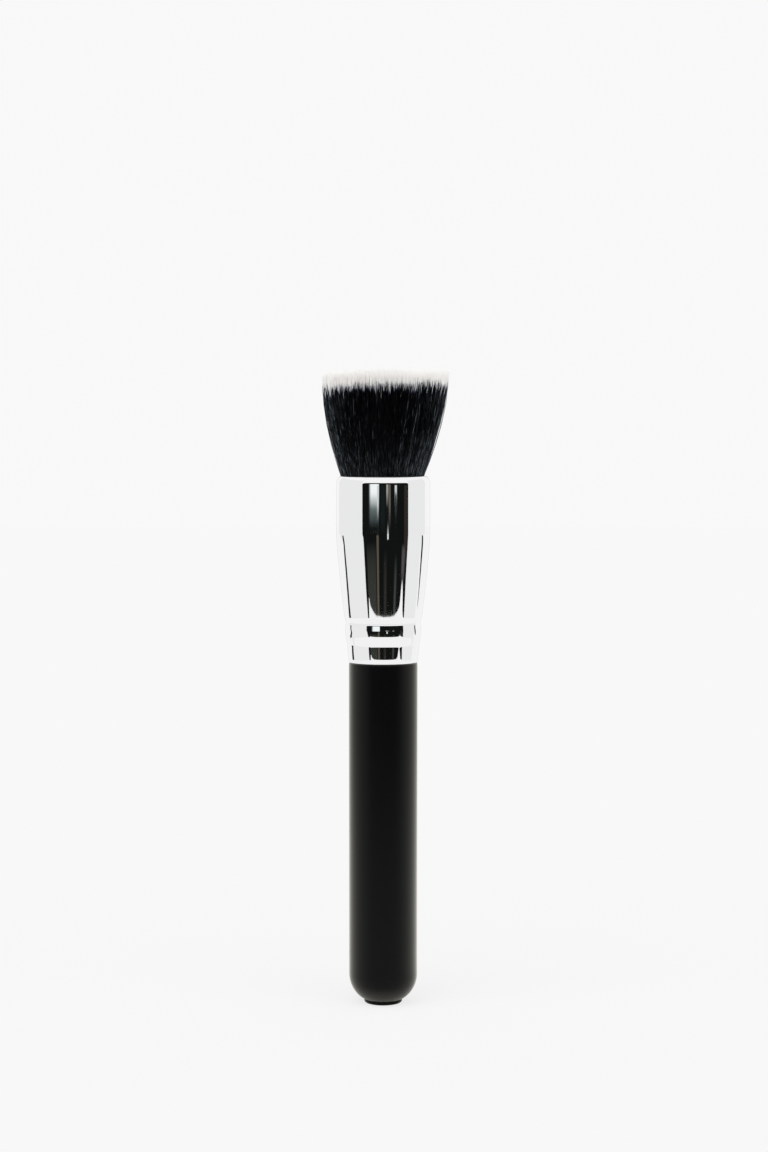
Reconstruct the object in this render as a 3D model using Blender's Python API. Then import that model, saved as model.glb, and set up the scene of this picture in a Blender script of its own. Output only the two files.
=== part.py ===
"""A flat-topped foundation brush, standing upright on the foot of its handle.

Metres, +Z up along the brush, -Y towards the front. The origin is the centre of the foot's flat
face. A turned wooden handle carries a tenon, a drawn and crimped metal ferrule is glued over the
tenon, and the filaments are potted in resin under the ferrule's turned-in lip.
"""

import math
import random
from collections import namedtuple

import bmesh
import bpy
from mathutils import Vector
from mathutils.geometry import delaunay_2d_cdt

# Fits
SEAT_GAP = 0.0003            # between pieces that rest on, or fit into, each other

# Handle
HANDLE_RADIUS = 0.0085
SHOULDER_HEIGHT = 0.08405    # foot to the step that the ferrule rests on
SHOULDER_EDGE = 0.00035      # rounding of that step
FOOT_RADIUS = 0.0049
FOOT_HEIGHT = 0.0009
FOOT_EDGE = 0.0004
FOOT_LEDGE = 0.00025         # how far the rounded end overhangs the foot
BUTT_HEIGHT = 0.0061         # rounded end, from the foot to the straight grip
BUTT_SWEEP_DEGREES = 69.0    # part of an ellipse that it follows
TENON_LENGTH = 0.0262
TENON_CHAMFER = 0.0008

# Ferrule, from its lower edge up
FERRULE_WALL = 0.0005
FERRULE_PROUD = 0.0001       # how far its skirt stands outside the handle
SKIRT_EDGE = 0.0002
SKIRT_LENGTH = 0.0036
LOWER_GROOVE_WIDTH = 0.0022
LOWER_GROOVE_DEPTH = 0.00025
BAND_LENGTH = 0.0036
BAND_RISE = 0.0007           # band above skirt, on the radius
UPPER_GROOVE_WIDTH = 0.0013
UPPER_GROOVE_DEPTH = 0.00035
WAIST_RISE = 0.00085         # lower end of the taper above the skirt, on the radius
TAPER_LENGTH = 0.0207
TAPER_SPREAD = 0.00205       # barrel above waist, on the radius
BARREL_LENGTH = 0.01305
LIP_RADIUS = 0.0012
GROOVE_FLOOR_SHARE = 0.2     # flat part of a groove, of its width
TAPER_CURVE = 1.3            # exponent, 1 would be a straight cone

# Tuft of filaments
TUFT_REACH = 0.025           # mouth of the ferrule to the flat top
CROWN_SPREAD = 0.0062        # top of the tuft above its neck, on the radius
FLARE_CURVE = 1.5            # exponent of the outward sweep
STRAND_COUNT = 340
STRAND_WIDTH_SHARE = 0.41    # circumradius of a strand, of the pitch between strands
STRAND_THIN_SHARE = 0.18     # how much thinner the thinnest strand is
BEND_HEIGHT_SHARE = 0.3      # of a strand's reach, where it bends
WHITE_HEIGHT_SHARE = 0.87    # of a strand's reach, where it turns white and starts to taper
TIP_WIDTH_SHARE = 0.6        # width left at the cut end
CORNER_DROP = 0.0007         # outermost strands end this much lower
CORNER_CURVE = 6.0           # exponent of that drop
LENGTH_SCATTER = 0.0005      # shortest strand below its neighbours
RESIN_RECESS = 0.0015        # top of the resin below the mouth
BACKING_THICKNESS = 0.002    # slice of resin that holds the strands

# Glue between tenon and ferrule
GLUE_RISE = 0.0006           # its lower end above the foot of the taper

# Facets
ROUND_SIDES = 48
STRAND_SIDES = 3             # a strand starts on one triangle of the backing
EDGE_STEPS = 3
BUTT_STEPS = 8
TAPER_STEPS = 8
PLUG_STEPS = 4
SMOOTH_BELOW_DEGREES = 40.0
SEED = 11

# Radii and heights that follow from the sizes above
SKIRT_RADIUS = HANDLE_RADIUS + FERRULE_PROUD
BAND_RADIUS = SKIRT_RADIUS + BAND_RISE
WAIST_RADIUS = SKIRT_RADIUS + WAIST_RISE
BARREL_RADIUS = WAIST_RADIUS + TAPER_SPREAD
MOUTH_RADIUS = BARREL_RADIUS - LIP_RADIUS
TENON_RADIUS = SKIRT_RADIUS - FERRULE_WALL - SEAT_GAP
NECK_RADIUS = MOUTH_RADIUS - SEAT_GAP

FERRULE_FOOT = SHOULDER_HEIGHT + SEAT_GAP
LOWER_GROOVE_FOOT = FERRULE_FOOT + SKIRT_LENGTH
BAND_FOOT = LOWER_GROOVE_FOOT + LOWER_GROOVE_WIDTH
UPPER_GROOVE_FOOT = BAND_FOOT + BAND_LENGTH
TAPER_FOOT = UPPER_GROOVE_FOOT + UPPER_GROOVE_WIDTH
BARREL_FOOT = TAPER_FOOT + TAPER_LENGTH
LIP_FOOT = BARREL_FOOT + BARREL_LENGTH
MOUTH_HEIGHT = LIP_FOOT + LIP_RADIUS
TUFT_TOP = MOUTH_HEIGHT + TUFT_REACH
TENON_TOP = SHOULDER_HEIGHT + TENON_LENGTH
RESIN_TOP = MOUTH_HEIGHT - RESIN_RECESS
BACKING_FOOT = RESIN_TOP - BACKING_THICKNESS
MERGE_DISTANCE = SEAT_GAP / 100.0

Strand = namedtuple("Strand", "centre corners top")


def clear_scene():
    for item in list(bpy.data.objects):
        bpy.data.objects.remove(item, do_unlink=True)


def finish(name, colour, roughness, metallic):
    """A plain Principled material."""
    material = bpy.data.materials.new(name)
    material.use_nodes = True
    shader = material.node_tree.nodes["Principled BSDF"]
    shader.inputs["Base Color"].default_value = (*colour, 1.0)
    shader.inputs["Roughness"].default_value = roughness
    shader.inputs["Metallic"].default_value = metallic
    return material


def add_object(name, bm, materials):
    """Put a finished bmesh into the scene as one named object."""
    bmesh.ops.recalc_face_normals(bm, faces=bm.faces)
    mesh = bpy.data.meshes.new(name)
    bm.to_mesh(mesh)
    bm.free()
    for material in materials:
        mesh.materials.append(material)
    piece = bpy.data.objects.new(name, mesh)
    bpy.context.scene.collection.objects.link(piece)
    return piece


def arc(centre_radius, centre_height, reach, rise, start, end, steps):
    """Points (radius, height) of an elliptical arc, from angle start to angle end in degrees."""
    points = []
    for step in range(steps + 1):
        angle = math.radians(start + (end - start) * step / steps)
        points.append((centre_radius + reach * math.cos(angle),
                       centre_height + rise * math.sin(angle)))
    return points


def ease(lower, upper, steps):
    """Points of a soft S-shaped step between two (radius, height) points, the upper one left out."""
    points = []
    for step in range(steps):
        share = step / steps
        blend = (1.0 - math.cos(math.pi * share)) / 2.0
        points.append((lower[0] + (upper[0] - lower[0]) * blend,
                       lower[1] + (upper[1] - lower[1]) * share))
    return points


def turn(name, outline, closed, material):
    """Spin an outline of (radius, height) points round the brush's axis."""
    bm = bmesh.new()
    verts = [bm.verts.new((radius, 0.0, height)) for radius, height in outline]
    edges = [bm.edges.new(pair) for pair in zip(verts, verts[1:])]
    if closed:
        edges.append(bm.edges.new((verts[-1], verts[0])))
    bmesh.ops.spin(bm, geom=verts + edges, axis=(0.0, 0.0, 1.0), cent=(0.0, 0.0, 0.0),
                   angle=math.tau, steps=ROUND_SIDES, use_merge=True)
    bmesh.ops.remove_doubles(bm, verts=bm.verts, dist=MERGE_DISTANCE)
    piece = add_object(name, bm, [material])
    piece.data.shade_smooth()
    piece.data.set_sharp_from_angle(angle=math.radians(SMOOTH_BELOW_DEGREES))
    return piece


def groove(foot_radius, floor_radius, top_radius, foot, width, steps):
    """A crimped groove: down to its floor, along it, and up again. Its last point is left out."""
    run = width * (1.0 - GROOVE_FLOOR_SHARE) / 2.0
    floor_start = (floor_radius, foot + run)
    floor_end = (floor_radius, foot + width - run)
    points = ease((foot_radius, foot), floor_start, steps)
    points += [floor_start]
    points += ease(floor_end, (top_radius, foot + width), steps)
    return points


def taper_radius(share):
    """Outer radius of the ferrule at a share of its taper, from the waist up."""
    return WAIST_RADIUS + TAPER_SPREAD * (1.0 - (1.0 - share) ** TAPER_CURVE)


def bore_radius(height):
    """Inner radius of the ferrule from the waist up."""
    share = min(max((height - TAPER_FOOT) / TAPER_LENGTH, 0.0), 1.0)
    return taper_radius(share) - FERRULE_WALL


def bore_outline(foot, top):
    """Points just inside the ferrule's bore, from foot to top."""
    heights = [foot + (top - foot) * step / PLUG_STEPS for step in range(PLUG_STEPS + 1)]
    return [(bore_radius(height) - SEAT_GAP, height) for height in heights]


def ferrule_side(steps):
    """Outer side of the ferrule, from the top of its skirt to the foot of its lip."""
    points = groove(SKIRT_RADIUS, SKIRT_RADIUS - LOWER_GROOVE_DEPTH, BAND_RADIUS,
                    LOWER_GROOVE_FOOT, LOWER_GROOVE_WIDTH, steps)
    points += [(BAND_RADIUS, BAND_FOOT)]
    points += groove(BAND_RADIUS, BAND_RADIUS - UPPER_GROOVE_DEPTH, WAIST_RADIUS,
                     UPPER_GROOVE_FOOT, UPPER_GROOVE_WIDTH, steps)
    points += [(taper_radius(step / TAPER_STEPS), TAPER_FOOT + TAPER_LENGTH * step / TAPER_STEPS)
               for step in range(TAPER_STEPS + 1)]
    return points + [(BARREL_RADIUS, LIP_FOOT)]


def handle():
    """Turned handle: foot, rounded lower end, straight grip, shoulder and tenon."""
    sweep = math.radians(BUTT_SWEEP_DEGREES)
    butt_reach = (HANDLE_RADIUS - FOOT_RADIUS - FOOT_LEDGE) / (1.0 - math.cos(sweep))
    butt_rise = BUTT_HEIGHT / math.sin(sweep)
    outline = [(0.0, 0.0)]
    outline += arc(FOOT_RADIUS - FOOT_EDGE, FOOT_EDGE, FOOT_EDGE, FOOT_EDGE, -90.0, 0.0, EDGE_STEPS)
    outline += [(FOOT_RADIUS, FOOT_HEIGHT)]
    outline += arc(HANDLE_RADIUS - butt_reach, FOOT_HEIGHT + BUTT_HEIGHT, butt_reach, butt_rise,
                   -BUTT_SWEEP_DEGREES, 0.0, BUTT_STEPS)
    outline += arc(HANDLE_RADIUS - SHOULDER_EDGE, SHOULDER_HEIGHT - SHOULDER_EDGE,
                   SHOULDER_EDGE, SHOULDER_EDGE, 0.0, 90.0, EDGE_STEPS)
    outline += [(TENON_RADIUS, SHOULDER_HEIGHT)]
    outline += groove(TENON_RADIUS, TENON_RADIUS - LOWER_GROOVE_DEPTH, TENON_RADIUS,
                      LOWER_GROOVE_FOOT, LOWER_GROOVE_WIDTH, EDGE_STEPS)
    outline += [(TENON_RADIUS, BAND_FOOT), (TENON_RADIUS, TENON_TOP - TENON_CHAMFER),
                (TENON_RADIUS - TENON_CHAMFER, TENON_TOP), (0.0, TENON_TOP)]
    return turn("handle", outline, False, finish("black_lacquer", (0.010, 0.011, 0.011), 0.5, 0.0))


def ferrule():
    """Drawn tube with crimped grooves near its lower end and a lip turned in at its mouth."""
    outer = arc(SKIRT_RADIUS - SKIRT_EDGE, FERRULE_FOOT + SKIRT_EDGE, SKIRT_EDGE, SKIRT_EDGE,
                -90.0, 0.0, EDGE_STEPS)
    outer += ferrule_side(EDGE_STEPS)
    outer += arc(MOUTH_RADIUS, LIP_FOOT, LIP_RADIUS, LIP_RADIUS, 0.0, 90.0, 2 * EDGE_STEPS)[1:]
    curl = LIP_RADIUS - FERRULE_WALL
    inner = arc(MOUTH_RADIUS, LIP_FOOT, curl, curl, 90.0, 0.0, EDGE_STEPS)[:-1]
    inner += [(radius - FERRULE_WALL, height)
              for radius, height in reversed(ferrule_side(EDGE_STEPS - 1))]
    inner += [(SKIRT_RADIUS - FERRULE_WALL, FERRULE_FOOT)]
    return turn("ferrule", outer + inner, True, finish("chrome_plate", (0.88, 0.88, 0.88), 0.05, 1.0))


def tenon_adhesive():
    """Sleeve of glue that fills the taper between the tenon and the ferrule."""
    inner_radius = TENON_RADIUS + SEAT_GAP
    foot = TAPER_FOOT + GLUE_RISE
    outline = bore_outline(foot, TENON_TOP) + [(inner_radius, TENON_TOP), (inner_radius, foot)]
    return turn("tenon_adhesive", outline, True, finish("wood_glue", (0.78, 0.74, 0.62), 0.6, 0.0))


def epoxy_plug():
    """Resin poured behind the filaments, from the tenon's end up to the slice that holds them."""
    foot = TENON_TOP + SEAT_GAP
    top = BACKING_FOOT - SEAT_GAP
    outline = [(0.0, foot)] + bore_outline(foot, top) + [(0.0, top)]
    return turn("epoxy_plug", outline, False, finish("amber_resin", (0.46, 0.30, 0.12), 0.3, 0.0))


def flare(height):
    """Spread of the tuft at a height, as a factor on its neck at the mouth of the ferrule."""
    share = min((height - MOUTH_HEIGHT) / TUFT_REACH, 1.0)
    if share < 0.0:
        sweep = FLARE_CURVE * share
    else:
        sweep = 1.0 - (1.0 - share) ** FLARE_CURVE
    return 1.0 + CROWN_SPREAD / NECK_RADIUS * sweep


def polar(radius, angle):
    return Vector((radius * math.cos(angle), radius * math.sin(angle)))


def strands():
    """Centre and corners of each strand at the mouth, spread like sunflower seeds, and its top."""
    scatter = random.Random(SEED)
    golden_angle = math.pi * (3.0 - math.sqrt(5.0))
    thickest = STRAND_WIDTH_SHARE * NECK_RADIUS * math.sqrt(math.pi / STRAND_COUNT)
    bundle = []
    for index in range(STRAND_COUNT):
        share = math.sqrt((index + 0.5) / STRAND_COUNT)
        centre = polar(share * (NECK_RADIUS - thickest), golden_angle * index)
        width = thickest * (1.0 - STRAND_THIN_SHARE * scatter.random())
        heading = math.tau * scatter.random()
        corners = [centre + polar(width, heading + math.tau * corner / STRAND_SIDES)
                   for corner in range(STRAND_SIDES)]
        top = TUFT_TOP - CORNER_DROP * share ** CORNER_CURVE - LENGTH_SCATTER * scatter.random()
        bundle.append(Strand(centre, corners, top))
    return bundle


def backing(bm, bundle):
    """Slice of resin, and the small face of its top on which each strand starts."""
    rim_radius = BARREL_RADIUS - FERRULE_WALL - SEAT_GAP
    points = [polar(rim_radius, math.tau * side / ROUND_SIDES) for side in range(ROUND_SIDES)]
    loops = [list(range(ROUND_SIDES))]
    for strand in bundle:
        loops.append(list(range(len(points), len(points) + STRAND_SIDES)))
        points += [corner * flare(RESIN_TOP) for corner in strand.corners]
    flat, _, triangles, _, _, owners = delaunay_2d_cdt(points, [], loops, 1, MERGE_DISTANCE)
    verts = [bm.verts.new((point.x, point.y, RESIN_TOP)) for point in flat]
    roots = []
    for corners, owner in zip(triangles, owners):
        face = bm.faces.new([verts[corner] for corner in corners])
        if max(owner) > 0:
            roots.append((face, bundle[max(owner) - 1]))
    rim = bmesh.ops.extrude_edge_only(bm, edges=[edge for edge in bm.edges if edge.is_boundary])
    lower = [item for item in rim["geom"] if isinstance(item, bmesh.types.BMVert)]
    bmesh.ops.translate(bm, verts=lower, vec=(0.0, 0.0, -BACKING_THICKNESS))
    bmesh.ops.contextual_create(bm, geom=[edge for edge in bm.edges if edge.is_boundary])
    return roots


def carry(face, centre, below, above, width_share):
    """Move a strand's end face up along the flare, narrowed about the strand's own centre."""
    spread_below = flare(below)
    spread_above = flare(above)
    for vert in face.verts:
        offset = vert.co.to_2d() - centre * spread_below
        place = centre * spread_above + offset * (width_share * spread_above / spread_below)
        vert.co = (place.x, place.y, above)


def bristle_tuft():
    """Strands that sweep outwards from the slice of resin that holds their lower ends.

    Every strand follows the same flare, each at its own place, so no two of them cross.
    """
    finishes = [finish("black_filament", (0.006, 0.008, 0.010), 0.45, 0.0),
                finish("white_filament", (0.78, 0.76, 0.72), 0.5, 0.0)]
    black, white = range(len(finishes))
    bm = bmesh.new()
    ends = [(face, strand, RESIN_TOP) for face, strand in backing(bm, strands())]
    for height_share, width_share, colour in ((BEND_HEIGHT_SHARE, 1.0, black),
                                              (WHITE_HEIGHT_SHARE, 1.0, black),
                                              (1.0, TIP_WIDTH_SHARE, white)):
        grown = bmesh.ops.extrude_discrete_faces(bm, faces=[face for face, _, _ in ends])["faces"]
        raised = []
        for face, (_, strand, below) in zip(grown, ends):
            above = MOUTH_HEIGHT + height_share * (strand.top - MOUTH_HEIGHT)
            carry(face, strand.centre, below, above, width_share)
            for edge in face.edges:
                for side in edge.link_faces:
                    side.material_index = colour
            raised.append((face, strand, above))
        ends = raised
    return add_object("bristle_tuft", bm, finishes)


clear_scene()
handle()
ferrule()
tenon_adhesive()
epoxy_plug()
bristle_tuft()
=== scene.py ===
import math

import bpy
import numpy as np
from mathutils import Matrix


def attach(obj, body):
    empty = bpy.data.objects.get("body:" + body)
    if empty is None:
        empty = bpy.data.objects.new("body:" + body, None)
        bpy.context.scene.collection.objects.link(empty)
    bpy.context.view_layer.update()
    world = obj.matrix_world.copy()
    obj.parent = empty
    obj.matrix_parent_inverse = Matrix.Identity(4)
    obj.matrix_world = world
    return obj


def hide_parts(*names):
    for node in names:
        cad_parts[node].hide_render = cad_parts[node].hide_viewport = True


# A flat topped foundation brush: lacquered handle, chrome ferrule, and a full tuft of black filaments with
# white ends. Metres, +Z up along the brush, -Y towards the front, the foot of the handle on the floor.
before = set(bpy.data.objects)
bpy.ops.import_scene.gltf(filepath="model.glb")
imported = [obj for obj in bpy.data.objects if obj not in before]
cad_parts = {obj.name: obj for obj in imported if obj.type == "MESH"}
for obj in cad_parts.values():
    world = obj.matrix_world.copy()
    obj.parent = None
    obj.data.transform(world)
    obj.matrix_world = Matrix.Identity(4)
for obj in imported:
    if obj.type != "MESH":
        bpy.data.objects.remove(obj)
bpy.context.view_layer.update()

BODY = "root"
CREASE_ANGLE = 35.0

# Handle, whose lower end rises on part of an ellipse that sweeps over so many degrees
GRIP_RADIUS = 0.00845
SHOULDER_HEIGHT = 0.0842
SHOULDER_EDGE = 0.00035
FOOT_RADIUS = 0.0047
FOOT_HEIGHT = 0.0011
FOOT_EDGE = 0.0006
FOOT_LEDGE = 0.00025
BUTT_HEIGHT = 0.0064
BUTT_SWEEP = 64.0
TENON_RADIUS = 0.0078
TENON_RISE = 0.0003
TENON_TOP = 0.11025
TENON_CHAMFER = 0.0008
POLE_RADIUS = 0.0002
HANDLE_ROWS = 120
HANDLE_SIDES = 160

# Ferrule below its taper, as pairs of radius and height
FOOT_RIM = (0.00822, 0.08425)
FOOT_BULGE = (0.00847, 0.08455)
SKIRT_FOOT = (0.00856, 0.0853)
SKIRT_MIDDLE = (0.008714, 0.0869)
SKIRT_TOP = (0.008830, 0.0886)
BAND_FOOT = (0.009226, 0.0908)
BAND_BULGE = (0.009345, 0.0916)
BAND_SHOULDER = (0.009305, 0.0925)
BAND_TOP = (0.009215, 0.0938)
GROOVE = (0.00909, 0.09415)

# Ferrule from its taper up, and its inside
TAPER_START_SHARE = 0.02
WAIST_RADIUS = 0.00945
TAPER_FOOT = 0.09505
TAPER_LENGTH = 0.0207
TAPER_SPREAD = 0.00205
TAPER_CURVE = 1.3
TAPER_ROWS = 60
INSIDE_STRIDE = 6
BARREL_RADIUS = WAIST_RADIUS + TAPER_SPREAD
MOUTH_RADIUS = 0.0103
MOUTH_HEIGHT = 0.13
LIP_RISE = 0.0020
LIP_BEAD = 0.0002
BEAD_START = 105.0
BEAD_END = 240.0
BEAD_STEPS = 8
FERRULE_WALL = 0.0005
BORE_CHAMFER = 0.0003
BORE_TOP = 0.0002
BORE_STEP = -0.0006
CREASE_ROUNDING = 0.00012
FERRULE_ROWS = 190
FERRULE_SIDES = 224

# Tuft, with heights above the ferrule's mouth
NECK_RADIUS = 0.0102
CROWN_SPREAD = 0.0055
CROWN_RADIUS = NECK_RADIUS * 1.55
FLARE_CURVE = 1.4
TUFT_REACH = 0.025
TUFT_LEAN = 0.00078
TUFT_LEAN_END = 1.2
TUFT_SET_LEFT = 0.0002
CORNER_DROP = 0.0007
CORNER_CURVE = 6.0
TOP_SLOPE = 0.010
NARROWING = 0.006
TIP_WIDTH = 0.2
TIP_CURVE = 0.6
FILAMENT_SIDES = 3

# White ends: where they start, and the levels and tints that make up a filament's kind
WHITE_START = 0.0216
WHITE_SLOPE = 0.028
WHITE_SIDE_RISE = 0.00025
WHITE_LEVELS = 16
LEVEL_LOW = 0.0165
LEVEL_SPAN = 0.0085
TINTS = 4
TINT_SHARES = (0.65, 0.86, 0.958)
UV_MAP = "OFBake"
UV_LOW = -0.003
UV_SPAN = 0.0295
CELL_MARGIN = 0.2
CAP_STEP = 0.004

# Outer filaments. Pairs are the ends of an even draw. Tips are a rise, a drop, its curve and a scatter.
OUTER_COUNT = 7600
OUTER_JITTER = 0.8
OUTER_DEPTH = 0.12
OUTER_DEPTH_CURVE = 1.3
OUTER_FOOT = -0.0018
OUTER_TIPS = (0.0011, 0.0022, 1.2, 0.00015)
OUTER_RADII = (0.000044, 0.000066)
OUTER_RINGS = (0.0, 0.07, 0.2, 0.36, 0.54, 0.72, 0.88, 1.0)
OUTER_STRAND_RISE = 0.0004
OUTER_STRAND_SKEW = 0.2
ROOT_CROSS = 0.075
BOW_SCATTER = 0.00006
LOCKS = 320
LOCK_JITTER = 0.45
LOCK_GRIP = (0.1, 0.65)
LOCK_LOOSENESS = 0.022
LOCK_RISE = 0.00030
LOCK_RISE_MOST = 0.0006
LOCK_ARCH = 0.0008
LOCK_ARCH_LEVEL = 0.4
EARLY_SHARE = 0.035
EARLY_DROP = (0.0004, 0.0028)
EARLY_WIDTH = 0.7
STRAY_SHARE = 0.035
STRAY_BOW = (0.0001, 0.0007)
STRAY_LOOSENESS = 3.0
PALEST_WIDTH = 1.4

# Sheen of the outer filaments, painted light that pushes them to lighter tints with brighter painted glints.
# A pale lock is its angle round the axis, its width and its push.
LEFT_SHEEN = 0.6
RIGHT_SHEEN = 0.35
SIDE_SHEEN_CURVE = 6
LOCK_SHEEN = 0.6
LOCK_SHEEN_CURVE = 5
SHEEN_MOST = 0.95
PALE_LOCKS = ((3.60, 0.05, 0.85), (4.02, 0.12, 0.58))

# Inner filaments, each turned from the last by the seed turn, a share of half a turn
INNER_COUNT = 9900
SEED_TURN = 3.0 - math.sqrt(5.0)
INNER_JITTER = 0.006
INNER_REACH = 0.96
INNER_FOOT = 0.0175
INNER_TIPS = (0.0006, 0.0018, 1.4, 0.0001)
INNER_RADII = (0.00008, 0.0001)
INNER_RINGS = (0.0, 0.45, 0.8, 1.0)
INNER_PULL = 0.012
INNER_WHITE_DROP = 0.0003
INNER_RIM_RISE = 0.0009
INNER_RIM_CURVE = 8
INNER_STRAND_RISE = 0.0006
INNER_STRAND_SKEW = 0.25

# Packed middle of the tuft. A flute is a depth, a number of waves and a phase, and bump waves are radians a
# metre.
CORE_FOOT = -0.0022
CORE_SHARE = 0.9
CORE_BRIM = 0.07
CORE_BRIM_DEPTH = 0.0014
CORE_TOP = 0.0226
CORE_DOME = 0.0006
CORE_POLE_SHARE = 0.03
CORE_SIDE_ROWS = 40
CORE_DOME_ROWS = 15
CORE_SIDES = 240
CORE_FLUTES = ((0.006, 53.0, 0.0), (0.005, 31.0, 1.0), (0.004, 79.0, 0.0))
CORE_BUMP = 0.00012
CORE_BUMP_WAVES = ((2600.0, 900.0), (-700.0, 2300.0))
CORE_WHITE = (MOUTH_HEIGHT + 0.0216, MOUTH_HEIGHT + 0.0224)
CORE_RAGGEDNESS = 0.0004

# Tones of the finishes, as the two linear colours between which each one's noise moves
CHROME_TONES = ((0.952, 0.953, 0.954, 1.0), (0.964, 0.964, 0.965, 1.0))
LACQUER_TONES = ((0.0016, 0.0020, 0.0018, 1.0), (0.0026, 0.0031, 0.0028, 1.0))
BEECH_TONES = ((0.42, 0.25, 0.13, 1.0), (0.66, 0.46, 0.28, 1.0))
# Black of the filaments, and the colour of the painted glints and painted light on it
FILAMENT_BLACK_AND_PAINTED_GLINT = ((0.0003, 0.0005, 0.0008, 1.0), (0.104, 0.120, 0.135, 1.0))
CORE_DARK_TONES = ((0.0006, 0.0008, 0.0011, 1.0), (0.0030, 0.0038, 0.0050, 1.0))
CORE_PALE_TONES = ((0.84, 0.82, 0.79, 1.0), (0.98, 0.96, 0.93, 1.0))
RESIN_TONES = ((0.34, 0.19, 0.06, 1.0), (0.58, 0.38, 0.17, 1.0))
GLUE_TONES = ((0.60, 0.52, 0.36, 1.0), (0.82, 0.77, 0.62, 1.0))
# Colour of the lacquer high up, where shade is painted
LACQUER_SHADED_HIGH = (0.0002, 0.0003, 0.0002, 1.0)
# Colour of the painted sheen on the lacquer's edges
LACQUER_PAINTED_SHEEN = (1.0, 0.97, 0.86, 1.0)
# Colour of the painted shade that dims the white near the tips
TIP_PAINTED_SHADE = (0.85, 0.84, 0.82, 1.0)
TURNING_STOPS = ((0.0, (0.0014, 0.0022, 0.0036)), (0.25, (0.021, 0.030, 0.060)), (0.5, (0.11, 0.14, 0.26)),
                 (0.70, (0.54, 0.56, 0.69)), (0.86, (1.0, 0.985, 0.965)))

# Lacquer, whose colour holds painted shade high up and a painted sheen. The broad and narrow glow of the
# painted sheen are a power of how far it faces away, and a strength. Other pairs are the ends of a soft step.
FACING_BLEND = 0.5
BROAD_GLOW = (2.3, 0.116)
NARROW_GLOW = (6.0, 0.8)
GLOW_HIGH = 0.88
GLOW_GAIN = 0.5
GLOW_GAIN_HEIGHTS = (0.080, 0.015)
GLOW_RIGHT_GAIN = 0.5
GLOW_RIGHT_ACROSS = (-0.008, 0.008)
GLOW_RIGHT_HEIGHTS = (0.003, 0.012)
GLOW_FOOT = 0.55
GLOW_FOOT_HEIGHTS = (0.002, 0.009)
# Painted floor light on the butt: its strength, where it fades out above, and where it starts above the foot
BUTT_PAINTED_LIGHT = 0.024
BUTT_PAINTED_LIGHT_HEIGHTS = (0.0055, 0.0017)
BUTT_PAINTED_LIGHT_FOOT = (0.0011, 0.0014)
# Painted shade: the lacquer is darker high up, by this share between these heights
PAINTED_SHADE_HIGH = 0.7
PAINTED_SHADE_HEIGHTS = (0.02, 0.075)
BARE_HEIGHTS = (SHOULDER_HEIGHT + 0.00002, SHOULDER_HEIGHT + 0.0001)

# Filament finish, whose black holds painted glints and painted light. A light is a steady part and a part
# that follows the streaks. Other pairs are the ends of a soft step.
TURN_START = -0.0010
TURN_END = 0.0007
SLOW_TURN = 0.0029
SLOW_TINTS = (0.5, 0.75)
# Painted shade on the white near the tips: its share and heights
TIP_SHADE_SHARE = 0.3
TIP_SHADE_HEIGHTS = (0.0236, 0.0256)
STREAK_TURNS = 76.0
STREAK_RISE = 360.0
STREAK_LEVELS = (0.51, 0.64)
LIMB_POWER = 3.0
LIMB_ACROSS = (-0.012, 0.006)
LIMB_SHARES = (0.9, 0.75)
LIMB_ROOT_LOSS = 0.35
ROOT_HEIGHTS = (0.009, 0.001)
CORNER_HEIGHTS = (0.013, 0.002)
CORNER_ACROSS = (0.004, 0.011)
GLINT_STRENGTH = 1.2
GLINT_FACING = 2.6
GLINT_ROOT = 0.4
GLINT_LIGHT = (0.2, 3.1)
LIMB_LIGHT = (0.05, 1.4)
ROOT_LIGHT = (0.008, 0.37)
CORNER_LIGHT = (0.10, 0.50)
STREAK_LIGHT = 0.034

# Stage, with angles in degrees. A lamp is its azimuth, elevation and strength.
BACKGROUND = 0.943
AIR_LIGHT = 0.72
FLOOR_TONES = (0.795, 0.801)
FLOOR_MOTTLE = 30.0
FLOOR_SHOWN = 0.8
FLOOR_REACH = (0.002, 6.0)
FLOOR_ROWS = 40
FLOOR_SIDES = 64
KEY_LAMP = (-35.0, 52.0, 1.1)
FILL_LAMP = (40.0, 42.0, 0.75)
LAMP_WIDTH = 50.0
LENS = 69.9
SENSOR_WIDTH = 36.0
CAMERA_PLACE = (0.0002, -0.549, 0.1285)
CAMERA_DIP = 2.4
CAMERA_CLIP = (0.01, 50.0)

# Sheets that only the chrome mirrors: how they lie, wall distances, and linear colours of the larger ones
SHEET_COLUMNS = 65
SHEET_ROWS = 33
SHEET_MAP = "sheet"
SHEET_LIFT = 0.0003
LAYER_LIFT = 0.00004
LAYER_GAP = 0.002
TRIMMED_REACH = 0.4
ROOM_WALL = 1.0
BOARD_WALL = 0.305
GAP_WALL = 0.3
ROOM_DARK = (0.0058, 0.0070, 0.0066)
BOARD_WHITE = (0.835, 0.84, 0.84)
SHADE_GREY = (0.42, 0.43, 0.44)
GAP_BLACK = (0.01, 0.01, 0.01)

scatter = np.random.default_rng(7)


class Wire:
    """A socket in one finish's nodes. Arithmetic on it adds its Math node, so 1 - wire works too."""

    def __init__(self, finish, socket):
        self.finish = finish
        self.socket = socket

    def maths(self, operation, first, second):
        return self.finish.node("Math", {"operation": operation}, {0: first, 1: second})

    def __add__(self, other):
        return self.maths("ADD", self, other)

    __radd__ = __add__

    def __sub__(self, other):
        return self.maths("SUBTRACT", self, other)

    def __rsub__(self, other):
        return self.maths("SUBTRACT", other, self)

    def __mul__(self, other):
        return self.maths("MULTIPLY", self, other)

    __rmul__ = __mul__

    def __truediv__(self, other):
        return self.maths("DIVIDE", self, other)

    def __pow__(self, other):
        return self.maths("POWER", self, other)

    def floor(self):
        return self.finish.node("Math", {"operation": "FLOOR"}, {0: self})


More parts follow.
